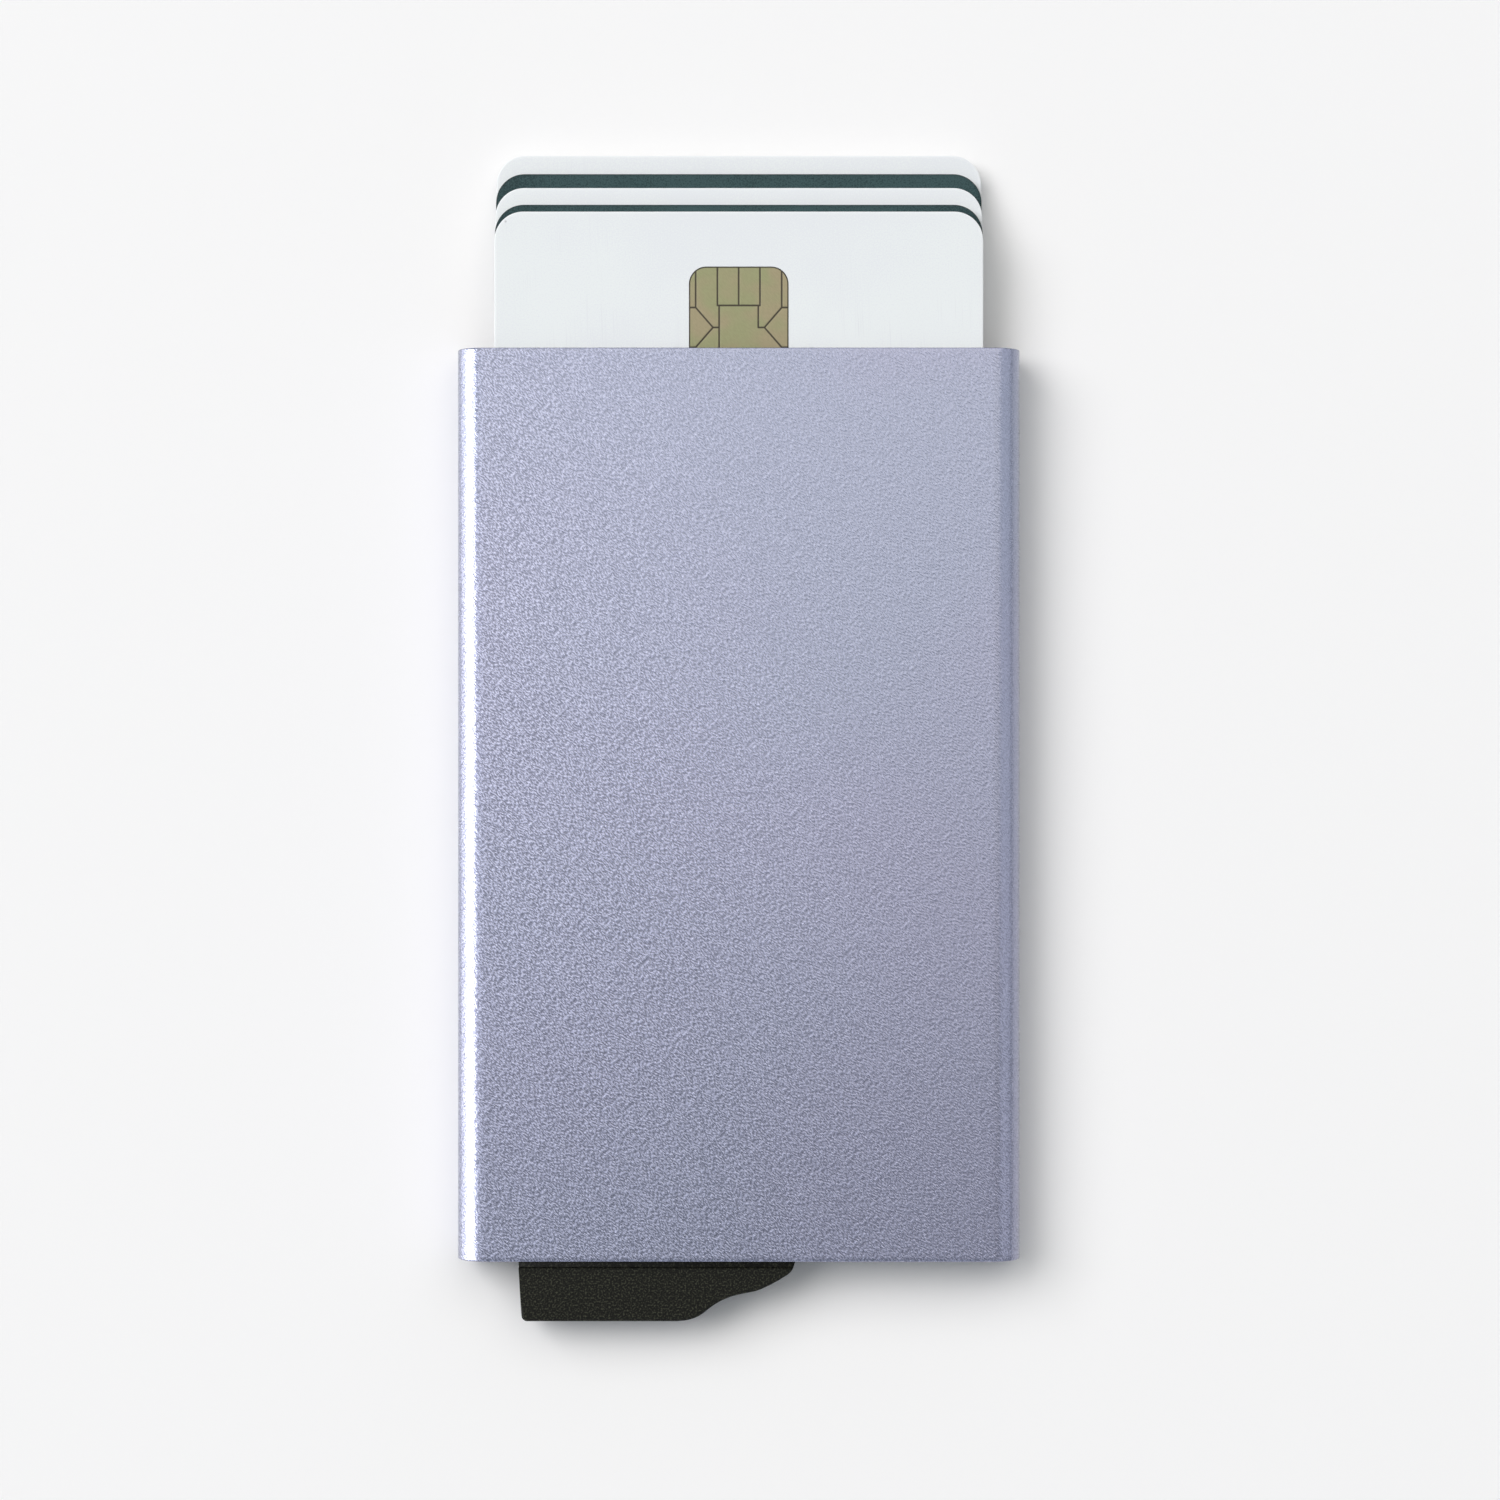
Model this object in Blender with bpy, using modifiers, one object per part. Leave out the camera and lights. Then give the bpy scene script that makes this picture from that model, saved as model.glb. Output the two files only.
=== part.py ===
"""Pop-up card case: an aluminium sleeve, five cards, and the stepped lever that pushes them out.

Metres, +Z up. The case lies on its back: X runs across it, +Y points out of its mouth and Z is its
thickness. The origin is the centre of the sleeve's back face. The lever is at rest, with its finger
tab out, and the cards stand where an earlier push left them.
"""

import math

import bmesh
import bpy

MM = 0.001

# Cards of the standard bank size. A reach is how far a card stands out of the mouth, front card first.
CARD_WIDTH = 53.98 * MM
CARD_LENGTH = 85.60 * MM
CARD_THICKNESS = 0.76 * MM
CARD_CORNER = 3.18 * MM
CARD_EDGE_ROUND = 0.09 * MM
CARD_GAP = 0.19 * MM
CARD_REACHES = (15.2 * MM, 16.1 * MM, 18.1 * MM, 19.8 * MM, 22.0 * MM)

# Contact plate let into the front card.
CHIP_WIDTH = 10.95 * MM
CHIP_LENGTH = 13.4 * MM
CHIP_CORNER = 1.9 * MM
CHIP_THICKNESS = 0.22 * MM
CHIP_FROM_EDGE = 6.1 * MM
CHIP_FIT = 0.03 * MM

# Extruded sleeve, open at both ends.
WALL = 1.0 * MM
SHELL_CORNER = 3.0 * MM
SHELL_EDGE_BREAK = 0.25 * MM
MOUTH_RECESS = 1.4 * MM
SEAT_GAP = 0.05 * MM

# Guides along the narrow sides, and the felt on them that grips the card edges.
GUIDE_THICKNESS = 2.45 * MM
GUIDE_MOUTH_GAP = 1.5 * MM
GUIDE_LEAD_IN = 0.9 * MM
GUIDE_FOOT_GAP = 0.3 * MM
FELT_THICKNESS = 0.4 * MM
FELT_CLEARANCE = 0.135 * MM
FELT_LENGTH = 40.0 * MM
FELT_HEIGHT = 4.8 * MM
FELT_MOUTH_GAP = 3.5 * MM

# Friction strips on the inner faces of the two wide walls. The inset is from the cards' side edges.
PAD_THICKNESS = 0.5 * MM
PAD_CLEARANCE = 0.17 * MM
PAD_WIDTH = 8.0 * MM
PAD_LENGTH = 42.0 * MM
PAD_CORNER = 1.5 * MM
PAD_INSET = 6.5 * MM
PAD_MOUTH_GAP = 4.5 * MM

# End frame that closes the lower end round the lever.
FRAME_PROUD = 0.12 * MM
FLOOR_THICKNESS = 1.5 * MM
PLATE_THICKNESS = 0.6 * MM
FRAME_TOP_GAP = 0.7 * MM
FRAME_EDGE_ROUND = 0.2 * MM
PEG_RADIUS = 0.45 * MM
PEG_LENGTH = 1.2 * MM
PEG_INSET = 1.3 * MM
PEG_FIT = 0.05 * MM
SLOT_GAP = 0.5 * MM
SWING_GAP = 0.4 * MM

# Pivot pin, measured from the sleeve's inner left side and from its lower end.
PIVOT_INSET = 9.3 * MM
PIVOT_HEIGHT = 5.3 * MM
PIN_RADIUS = 1.0 * MM
PIN_FIT = 0.05 * MM
PIN_END_GAP = 0.1 * MM
PIN_CHAMFER = 0.15 * MM
RUNNING_FIT = 0.08 * MM

# Lever: a hub, a stop heel, a stepped push arm with one step for each card, and the finger tab.
LEVER_SIDE_PLAY = 0.15 * MM
HUB_RADIUS = 3.2 * MM
HUB_PROUD = 0.07 * MM
ARM_RISE = 7.7 * MM
ARM_REACH = 33.1 * MM
ARM_FLOOR_GAP = 0.15 * MM
STOW_GAP = 0.5 * MM
TIP_LAND = 0.6 * MM
TIP_ROUND = 0.8 * MM
HEEL_SEAT = 1.6 * MM
HEEL_RELIEF = 0.35 * MM
TAB_BACK = 3.6 * MM
TAB_WIDTH = 30.7 * MM
TAB_DROP = 6.85 * MM
TAB_LEAN = 0.4 * MM
TAB_CORNER = 0.6 * MM
TAB_EDGE_ROUND = 0.3 * MM
# The tab is thicker than its root, which passes through the frame's slot: a shoulder ends it above.
ROOT_DROP = 0.9 * MM
ROOT_RELIEF = 0.5 * MM
SHOULDER_CHAMFER = 0.1 * MM
# Finger rest: across as shares of the tab's width, down as shares of its drop.
FINGER_REST_SHARES = (
    (0.570, 1.000), (0.612, 0.980), (0.652, 0.913), (0.686, 0.800),
    (0.722, 0.692), (0.764, 0.608), (0.810, 0.556), (0.858, 0.512),
    (0.905, 0.420), (0.950, 0.308), (0.984, 0.192), (1.000, 0.000),
)
# Neck from the arm down to the heel: along as shares of the arm's reach, up as shares of its rise.
NECK_SHARES = (
    (0.300, 1.000), (0.225, 0.950), (0.150, 0.790), (0.075, 0.610),
    (-0.030, 0.500), (-0.130, 0.390), (-0.183, 0.270),
)

# Segments of a quarter round, a full round, a push edge and a stretch of a smooth curve.
CORNER_SEGMENTS = 10
ROUND_SEGMENTS = 48
STEP_SEGMENTS = 16
CURVE_SEGMENTS = 4
WELD = 0.001 * MM
CUT_OVERRUN = 2.0 * MM

# Two faces that meet within the first angle are one flat face, within the second they are one round
# surface, and past the third they are a corner.
FLAT_ANGLE = math.radians(0.05)
SMOOTH_ANGLE = math.radians(30)
CORNER_ANGLE = math.radians(60)

# Turns that point an extrusion along each axis.
ALONG_Z = (0, 0, 0)
ALONG_Y = (math.pi / 2, 0, 0)
ALONG_X = (math.pi / 2, 0, math.pi / 2)

# Worked out from the sizes above.
CARD_COUNT = len(CARD_REACHES)
CARD_PITCH = CARD_THICKNESS + CARD_GAP
STACK_DEPTH = CARD_COUNT * CARD_PITCH - CARD_GAP
INNER_DEPTH = STACK_DEPTH + 2 * (PAD_CLEARANCE + PAD_THICKNESS + SEAT_GAP)
CASE_DEPTH = INNER_DEPTH + 2 * WALL
SIDE_BUILD_UP = FELT_CLEARANCE + FELT_THICKNESS + SEAT_GAP + GUIDE_THICKNESS + SEAT_GAP
INNER_WIDTH = CARD_WIDTH + 2 * SIDE_BUILD_UP
CASE_WIDTH = INNER_WIDTH + 2 * WALL
STOW_HEIGHT = PIVOT_HEIGHT + ARM_RISE + STOW_GAP
CASE_LENGTH = STOW_HEIGHT + CARD_LENGTH + MOUTH_RECESS
MOUTH_Y = CASE_LENGTH / 2
END_Y = -CASE_LENGTH / 2
INNER_CORNER = SHELL_CORNER - WALL

CARD_LOW_Z = WALL + SEAT_GAP + PAD_THICKNESS + PAD_CLEARANCE
SEAT_LOW_Z = WALL + SEAT_GAP
SEAT_HIGH_Z = CASE_DEPTH - WALL - SEAT_GAP
PLATE_LOW_Z = SEAT_LOW_Z + PLATE_THICKNESS
PLATE_HIGH_Z = SEAT_HIGH_Z - PLATE_THICKNESS
LEVER_LOW_Z = PLATE_LOW_Z + LEVER_SIDE_PLAY
LEVER_HIGH_Z = PLATE_HIGH_Z - LEVER_SIDE_PLAY

FRAME_HALF_WIDTH = INNER_WIDTH / 2 - SEAT_GAP
FRAME_LOW_Y = END_Y - FRAME_PROUD
FLOOR_Y = FRAME_LOW_Y + FLOOR_THICKNESS
FRAME_HIGH_Y = END_Y + STOW_HEIGHT - FRAME_TOP_GAP
GUIDE_FACE_X = CARD_WIDTH / 2 + FELT_CLEARANCE + FELT_THICKNESS + SEAT_GAP
PAD_X = CARD_WIDTH / 2 - PAD_INSET - PAD_WIDTH / 2
PEG_PLACES = (("left", PEG_INSET - FRAME_HALF_WIDTH), ("right", FRAME_HALF_WIDTH - PEG_INSET))

PIVOT_X = PIVOT_INSET - INNER_WIDTH / 2
PIVOT_Y = END_Y + PIVOT_HEIGHT
CARD_TRAVELS = [reach + MOUTH_RECESS for reach in CARD_REACHES]
LEVER_SWEEP = max(CARD_TRAVELS) / ARM_REACH
STEP_ARMS = [travel / LEVER_SWEEP for travel in CARD_TRAVELS]
UNDERSIDE = FLOOR_Y + ARM_FLOOR_GAP - PIVOT_Y
SLOT_LEFT = -TAB_BACK - SLOT_GAP
SLOT_RIGHT = TAB_WIDTH - TAB_BACK + SLOT_GAP


def arc(centre_x, centre_y, radius, start_degrees, end_degrees, segments=CORNER_SEGMENTS):
    """Points of a round stretch, both ends included."""
    points = []
    for i in range(segments + 1):
        angle = math.radians(start_degrees + (end_degrees - start_degrees) * i / segments)
        points.append((centre_x + radius * math.cos(angle), centre_y + radius * math.sin(angle)))
    return points


def rounded_rectangle(left, right, low, high, radius, round_left=True):
    """Outline of a rectangle with round corners, or with only its two right corners round."""
    points = arc(right - radius, low + radius, radius, -90, 0)
    points += arc(right - radius, high - radius, radius, 0, 90)
    if round_left:
        points += arc(left + radius, high - radius, radius, 90, 180)
        points += arc(left + radius, low + radius, radius, 180, 270)
    else:
        points += [(left, high), (left, low)]
    return points


def smooth(points):
    """A cubic curve through the points, each stretch leaving along the line between its neighbours."""
    result = [points[0]]
    last = len(points) - 1
    for i in range(last):
        before, start = points[max(i - 1, 0)], points[i]
        end, after = points[i + 1], points[min(i + 2, last)]
        for step in range(1, CURVE_SEGMENTS + 1):
            t = step / CURVE_SEGMENTS
            fall, rise = 2 - 5 * t**2 + 3 * t**3, t + 4 * t**2 - 3 * t**3
            weights = (2 * t**2 - t - t**3, fall, rise, t**3 - t**2)
            corners = zip(weights, (before, start, end, after))
            pairs = [(w * p[0] / 2, w * p[1] / 2) for w, p in corners]
            result.append((sum(x for x, _ in pairs), sum(y for _, y in pairs)))
    return result


def turned(point, angle):
    """A point of the lever after a turn about the pivot, which is the lever's own origin."""
    x, y = point
    return x * math.cos(angle) - y * math.sin(angle), x * math.sin(angle) + y * math.cos(angle)


def new_collection(name):
    collection = bpy.data.collections.new(name)
    bpy.context.scene.collection.children.link(collection)
    return collection


def new_material(name, colour, roughness, metallic=0.0):
    material = bpy.data.materials.new(name)
    material.use_nodes = True
    shader = material.node_tree.nodes["Principled BSDF"]
    shader.inputs["Base Color"].default_value = (*colour, 1.0)
    shader.inputs["Roughness"].default_value = roughness
    shader.inputs["Metallic"].default_value = metallic
    material.diffuse_color = (*colour, 1.0)
    return material


def clean(mesh):
    """Weld the loose caps that a filled curve leaves, and make each flat side one face that points out."""
    shape = bmesh.new()
    shape.from_mesh(mesh)
    bmesh.ops.remove_doubles(shape, verts=shape.verts, dist=WELD)
    bmesh.ops.recalc_face_normals(shape, faces=shape.faces)
    bmesh.ops.dissolve_limit(shape, angle_limit=FLAT_ANGLE, verts=shape.verts, edges=shape.edges)
    shape.to_mesh(mesh)
    shape.free()


def extruded(name, outlines, thickness, location, turn=ALONG_Z):
    """A closed mesh object from flat outlines, the first one solid and the others holes in it.

    The outlines lie in X and Y and are extruded along Z, unless the turn points them another way.
    """
    curve = bpy.data.curves.new(name + "_outline", "CURVE")
    curve.dimensions = "2D"
    curve.fill_mode = "BOTH"
    curve.extrude = thickness / 2
    for outline in outlines:
        spline = curve.splines.new("POLY")
        spline.points.add(len(outline) - 1)
        spline.use_cyclic_u = True
        for point, (x, y) in zip(spline.points, outline):
            point.co = (x, y, 0, 1)
    guide = bpy.data.objects.new(name + "_outline", curve)
    guide.location = location
    guide.rotation_euler = turn
    bpy.context.scene.collection.objects.link(guide)
    bpy.context.view_layer.update()
    graph = bpy.context.evaluated_depsgraph_get()
    mesh = bpy.data.meshes.new_from_object(guide.evaluated_get(graph))
    piece = bpy.data.objects.new(name, mesh)
    piece.matrix_world = guide.matrix_world.copy()
    bpy.data.objects.remove(guide)
    clean(mesh)
    return piece


def plate(name, outline, low_z, high_z, x=0.0, y=0.0):
    """A flat piece between two heights, with its outline about the point (x, y)."""
    return extruded(name, [outline], high_z - low_z, (x, y, (low_z + high_z) / 2))


def rail(name, outlines, low_y, high_y):
    """A piece that runs along Y, with its section drawn in X and Z."""
    return extruded(name, outlines, high_y - low_y, (0, (low_y + high_y) / 2, 0), ALONG_Y)


def crossbar(name, outline, length):
    """A piece that runs across the case along X, with its section drawn in Y and Z."""
    return extruded(name, [outline], length, (0, 0, 0), ALONG_X)


def box(name, low, high):
    """A block between two opposite corners."""
    shape = bmesh.new()
    bmesh.ops.create_cube(shape, size=1)
    size = [b - a for a, b in zip(low, high)]
    bmesh.ops.scale(shape, verts=shape.verts, vec=size)
    mesh = bpy.data.meshes.new(name)
    shape.to_mesh(mesh)
    shape.free()
    piece = bpy.data.objects.new(name, mesh)
    piece.location = [(a + b) / 2 for a, b in zip(low, high)]
    return piece


def rod(name, radius, low_z, high_z, x, y):
    """A round bar along Z."""
    shape = bmesh.new()
    bmesh.ops.create_cone(
        shape, cap_ends=True, segments=ROUND_SEGMENTS, radius1=radius, radius2=radius, depth=high_z - low_z
    )
    mesh = bpy.data.meshes.new(name)
    shape.to_mesh(mesh)
    shape.free()
    piece = bpy.data.objects.new(name, mesh)
    piece.location = (x, y, (low_z + high_z) / 2)
    return piece


def combine(piece, tool, operation="DIFFERENCE"):
    """Cut the tool from the piece, or join it on. The tool stays in the file as a hidden helper."""
    CUTTERS.objects.link(tool)
    tool.hide_render = True
    tool.display_type = "WIRE"
    modifier = piece.modifiers.new(tool.name, "BOOLEAN")
    modifier.operation = operation
    modifier.solver = "EXACT"
    modifier.object = tool


def round_edges(piece, width, segments=2):
    """Round every edge where two faces meet at a corner."""
    modifier = piece.modifiers.new("edge_round", "BEVEL")
    modifier.limit_method = "ANGLE"
    modifier.angle_limit = CORNER_ANGLE
    modifier.width = width
    modifier.segments = segments
    modifier.harden_normals = True


def round_chosen_edges(piece, chosen, width, segments):
    """Round only the corner edges whose two ends, in the piece's own coordinates, are both chosen."""
    shape = bmesh.new()
    shape.from_mesh(piece.data)
    weight = shape.edges.layers.float.new("bevel_weight_edge")
    for edge in shape.edges:
        if edge.calc_face_angle() > CORNER_ANGLE and all(chosen(vert.co) for vert in edge.verts):
            edge[weight] = 1
    shape.to_mesh(piece.data)
    shape.free()
    modifier = piece.modifiers.new("chosen_edge_round", "BEVEL")
    modifier.limit_method = "WEIGHT"
    modifier.width = width
    modifier.segments = segments
    modifier.use_clamp_overlap = False


def finish(piece, material, parent):
    """Give the piece its material and put it in the case. A cut piece stays flat shaded at its new edges."""
    piece.data.materials.clear()
    piece.data.materials.append(material)
    if not any(modifier.type == "BOOLEAN" for modifier in piece.modifiers):
        piece.data.shade_smooth()
        piece.data.set_sharp_from_angle(angle=SMOOTH_ANGLE)
    PIECES.objects.link(piece)
    piece.parent = parent
    return piece


def make_shell():
    """The sleeve: a flat tube with round sides, its cut ends broken so that they don't scratch."""
    outer = rounded_rectangle(-CASE_WIDTH / 2, CASE_WIDTH / 2, 0, CASE_DEPTH, SHELL_CORNER)
    inner = rounded_rectangle(-INNER_WIDTH / 2, INNER_WIDTH / 2, WALL, CASE_DEPTH - WALL, INNER_CORNER)
    shell = rail("case_shell", [outer, inner], END_Y, MOUTH_Y)
    round_edges(shell, SHELL_EDGE_BREAK)
    return shell


def frame_blank(name):
    """The bar that fills the sleeve's lower end: the end frame and its cover are cut from it."""
    section = rounded_rectangle(
        -FRAME_HALF_WIDTH, FRAME_HALF_WIDTH, SEAT_LOW_Z, SEAT_HIGH_Z, INNER_CORNER - SEAT_GAP
    )
    return rail(name, [section], FRAME_LOW_Y, FRAME_HIGH_Y)


def make_end_frame():
    """Back plate, side cheeks and slotted floor. The cheeks clear the circles that the heel and tip sweep."""
    frame = frame_blank("end_frame")
    round_edges(frame, FRAME_EDGE_ROUND, 1)
    low = (-CASE_WIDTH, FRAME_LOW_Y - CUT_OVERRUN, PLATE_HIGH_Z - SEAT_GAP)
    high = (CASE_WIDTH, FRAME_HIGH_Y + CUT_OVERRUN, CASE_DEPTH)
    combine(frame, box("cut_parting_of_frame", low, high))

    heel = math.hypot(SLOT_LEFT - HEEL_SEAT, UNDERSIDE)
    tip = math.hypot(arm_end(max(STEP_ARMS))[0], UNDERSIDE)
    low = (PIVOT_X - heel - SWING_GAP, FLOOR_Y, PLATE_LOW_Z)
    high = (PIVOT_X + tip + SWING_GAP, FRAME_HIGH_Y + CUT_OVERRUN, CASE_DEPTH)
    combine(frame, box("cut_lever_pocket", low, high))

    low = (PIVOT_X + SLOT_LEFT, FRAME_LOW_Y - CUT_OVERRUN, PLATE_LOW_Z)
    high = (PIVOT_X + SLOT_RIGHT, PIVOT_Y, CASE_DEPTH)
    combine(frame, box("cut_lever_slot", low, high))

    hole = rod("cut_pin_hole_of_frame", PIN_RADIUS + PIN_FIT, 0, LEVER_LOW_Z, PIVOT_X, PIVOT_Y)
    combine(frame, hole)
    for side, x in PEG_PLACES:
        low_z = PLATE_HIGH_Z - PEG_LENGTH - PEG_FIT
        hole = rod("cut_peg_hole_" + side, PEG_RADIUS + PEG_FIT, low_z, CASE_DEPTH, x, PIVOT_Y)
        combine(frame, hole)
    return frame


def make_end_frame_cover():
    """Front plate of the end frame, located by a peg in each cheek and by the pivot pin."""
    cover = frame_blank("end_frame_cover")
    round_edges(cover, FRAME_EDGE_ROUND, 1)
    low = (-CASE_WIDTH, FRAME_LOW_Y - CUT_OVERRUN, 0)
    high = (CASE_WIDTH, FRAME_HIGH_Y + CUT_OVERRUN, PLATE_HIGH_Z)
    combine(cover, box("cut_parting_of_cover", low, high))
    for side, x in PEG_PLACES:
        low_z = PLATE_HIGH_Z - PEG_LENGTH
        root_z = PLATE_HIGH_Z + PLATE_THICKNESS / 2
        combine(cover, rod("join_peg_" + side, PEG_RADIUS, low_z, root_z, x, PIVOT_Y), "UNION")
    hole = rod("cut_pin_hole_of_cover", PIN_RADIUS + PIN_FIT, LEVER_HIGH_Z, CASE_DEPTH, PIVOT_X, PIVOT_Y)
    combine(cover, hole)
    return cover


def make_pin():
    """Steel pin through both plates and the hub, trapped between the sleeve's wide walls."""
    pin = rod("lever_pin", PIN_RADIUS, SEAT_LOW_Z + PIN_END_GAP, SEAT_HIGH_Z - PIN_END_GAP, PIVOT_X, PIVOT_Y)
    round_edges(pin, PIN_CHAMFER, 1)
    return pin


def step_edge(arm):
    """The push edge of one step, from its first touch to the end of the sweep.

    A card's lower edge is flat and rises by the arm times the angle that the lever has turned, and
    it touches the step at that arm's distance from the pivot. Seen from the lever, the card's edge
    rolls back as it rises, and the curve that it always touches is an involute.
    """
    points = []
    for i in range(STEP_SEGMENTS + 1):
        angle = LEVER_SWEEP * i / STEP_SEGMENTS
        points.append(turned((arm, ARM_RISE + arm * angle), -angle))
    return points


def arm_end(arm):
    """The end of a step's short land, which follows the card's edge past the last touch."""
    x, y = step_edge(arm)[-1]
    return x + TIP_LAND * math.cos(LEVER_SWEEP), y - TIP_LAND * math.sin(LEVER_SWEEP)


def tab_left(y):
    """Where the tab's left edge, which leans in towards its lower end, is at a height."""
    return TAB_LEAN * (-PIVOT_HEIGHT - y) / TAB_DROP - TAB_BACK


def lever_outline():
    """The lever seen from the front, about its pivot, with the longest step at full size."""
    tab_low = -PIVOT_HEIGHT - TAB_DROP
    corner_x = tab_left(tab_low + TAB_CORNER) + TAB_CORNER
    rest = [(TAB_WIDTH * x - TAB_BACK, -PIVOT_HEIGHT - TAB_DROP * y) for x, y in FINGER_REST_SHARES]
    tip_x, tip_y = arm_end(max(STEP_ARMS))
    neck = [(ARM_REACH * x, ARM_RISE * y) for x, y in NECK_SHARES]
    heel_outer = turned((SLOT_LEFT - HEEL_SEAT, UNDERSIDE), -LEVER_SWEEP)
    heel_inner = turned((SLOT_LEFT, UNDERSIDE), -LEVER_SWEEP)
    relief_y = UNDERSIDE + HEEL_RELIEF
    points = [(tab_left(relief_y), relief_y)]
    points += arc(corner_x, tab_low + TAB_CORNER, TAB_CORNER, 180, 270, CURVE_SEGMENTS)
    points += smooth(rest)
    points += [(TAB_WIDTH - TAB_BACK, UNDERSIDE)]
    points += arc(tip_x - TIP_ROUND, UNDERSIDE + TIP_ROUND, TIP_ROUND, -90, 0, CURVE_SEGMENTS)
    points += [(tip_x, tip_y)]
    points += reversed(step_edge(max(STEP_ARMS)))
    points += smooth(neck)
    points += [heel_outer, heel_inner]
    return points


def step_cutter(index):
    """What is milled off in front of a card's neighbour behind it, to leave the shorter step of this card."""
    arm = STEP_ARMS[index]
    end_x, end_y = arm_end(arm)
    far_x = arm_end(max(STEP_ARMS))[0] + CUT_OVERRUN
    low_y = UNDERSIDE - CUT_OVERRUN
    high_y = ARM_RISE + CUT_OVERRUN
    outline = [(arm, high_y)] + step_edge(arm)
    outline += [(end_x, end_y), (end_x, low_y), (far_x, low_y), (far_x, high_y)]
    cards_behind = CARD_COUNT - 1 - index
    low_z = CARD_LOW_Z + cards_behind * CARD_PITCH - CARD_GAP / 2
    name = "cut_step_" + str(index + 1)
    return plate(name, outline, low_z, LEVER_HIGH_Z + CUT_OVERRUN, PIVOT_X, PIVOT_Y)


def root_cutter(face):
    """What thins the tab's root on one face, with a small chamfer on the shoulder that it leaves."""
    shoulder_y = END_Y - ROOT_DROP
    top_y = PIVOT_Y + UNDERSIDE
    outline = [
        (shoulder_y - SHOULDER_CHAMFER - CUT_OVERRUN, LEVER_HIGH_Z + CUT_OVERRUN),
        (shoulder_y, LEVER_HIGH_Z - SHOULDER_CHAMFER),
        (shoulder_y, LEVER_HIGH_Z - ROOT_RELIEF),
        (top_y, LEVER_HIGH_Z - ROOT_RELIEF),
        (top_y, LEVER_HIGH_Z + CUT_OVERRUN),
    ]
    if face == "back":
        outline = [(y, CASE_DEPTH - z) for y, z in outline]
    return crossbar("cut_root_" + face, outline, 2 * CASE_WIDTH)


def make_lever():
    """One moulding, with its origin on the pivot: tab, root, heel and hub, and a push arm in steps."""
    lever = plate("lever", lever_outline(), LEVER_LOW_Z, LEVER_HIGH_Z, PIVOT_X, PIVOT_Y)
    half = (LEVER_HIGH_Z - LEVER_LOW_Z) / 2
    round_chosen_edges(
        lever, lambda co: co.y < -PIVOT_HEIGHT - TAB_EDGE_ROUND and abs(co.z) > half - WELD, TAB_EDGE_ROUND, 4
    )
    combine(lever, root_cutter("front"))
    combine(lever, root_cutter("back"))
    hub = rod("join_hub", HUB_RADIUS, LEVER_LOW_Z - HUB_PROUD, LEVER_HIGH_Z + HUB_PROUD, PIVOT_X, PIVOT_Y)
    combine(lever, hub, "UNION")
    combine(lever, rod("cut_hub_bore", PIN_RADIUS + RUNNING_FIT, 0, CASE_DEPTH, PIVOT_X, PIVOT_Y))
    for index in reversed(range(CARD_COUNT)):
        if STEP_ARMS[index] < max(STEP_ARMS):
            combine(lever, step_cutter(index))
    return lever


def make_guide(side, direction):
    """A guide that fills the sleeve's round side and keeps the cards in line, with a lead-in at the mouth."""
    section = rounded_rectangle(
        GUIDE_FACE_X, FRAME_HALF_WIDTH, SEAT_LOW_Z, SEAT_HIGH_Z, INNER_CORNER - SEAT_GAP, round_left=False
    )
    section = [(direction * x, z) for x, z in section]
    low_y = FRAME_HIGH_Y + GUIDE_FOOT_GAP
    high_y = MOUTH_Y - GUIDE_MOUTH_GAP
    guide = rail("side_guide_" + side, [section], low_y, high_y)
    half = (high_y - low_y) / 2
    round_chosen_edges(
        guide, lambda co: abs(abs(co.x) - GUIDE_FACE_X) < WELD and co.z < WELD - half, GUIDE_LEAD_IN, 1
    )
    return guide


def make_felt(side, direction):
    """A felt strip glued along the guide's flat face."""
    near = direction * (GUIDE_FACE_X - SEAT_GAP)
    far = direction * (GUIDE_FACE_X - SEAT_GAP - FELT_THICKNESS)
    high_y = MOUTH_Y - GUIDE_MOUTH_GAP - FELT_MOUTH_GAP
    low = (min(near, far), high_y - FELT_LENGTH, (CASE_DEPTH - FELT_HEIGHT) / 2)
    high = (max(near, far), high_y, (CASE_DEPTH + FELT_HEIGHT) / 2)
    return box("edge_felt_" + side, low, high)


def make_pad(face, side, direction):
    """A friction strip glued to the inner face of a wide wall."""
    outline = rounded_rectangle(-PAD_WIDTH / 2, PAD_WIDTH / 2, -PAD_LENGTH / 2, PAD_LENGTH / 2, PAD_CORNER)
    low_z = SEAT_LOW_Z if face == "back" else SEAT_HIGH_Z - PAD_THICKNESS
    y = MOUTH_Y - PAD_MOUTH_GAP - PAD_LENGTH / 2
    return plate(face + "_pad_" + side, outline, low_z, low_z + PAD_THICKNESS, direction * PAD_X, y)


def card_low_z(index):
    return CARD_LOW_Z + (CARD_COUNT - 1 - index) * CARD_PITCH


def chip_outline(extra):
    return rounded_rectangle(
        -CHIP_WIDTH / 2 - extra, CHIP_WIDTH / 2 + extra,
        -CHIP_LENGTH / 2 - extra, CHIP_LENGTH / 2 + extra, CHIP_CORNER + extra,
    )


def chip_centre_y():
    return MOUTH_Y + CARD_REACHES[0] - CHIP_FROM_EDGE - CHIP_LENGTH / 2


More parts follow.
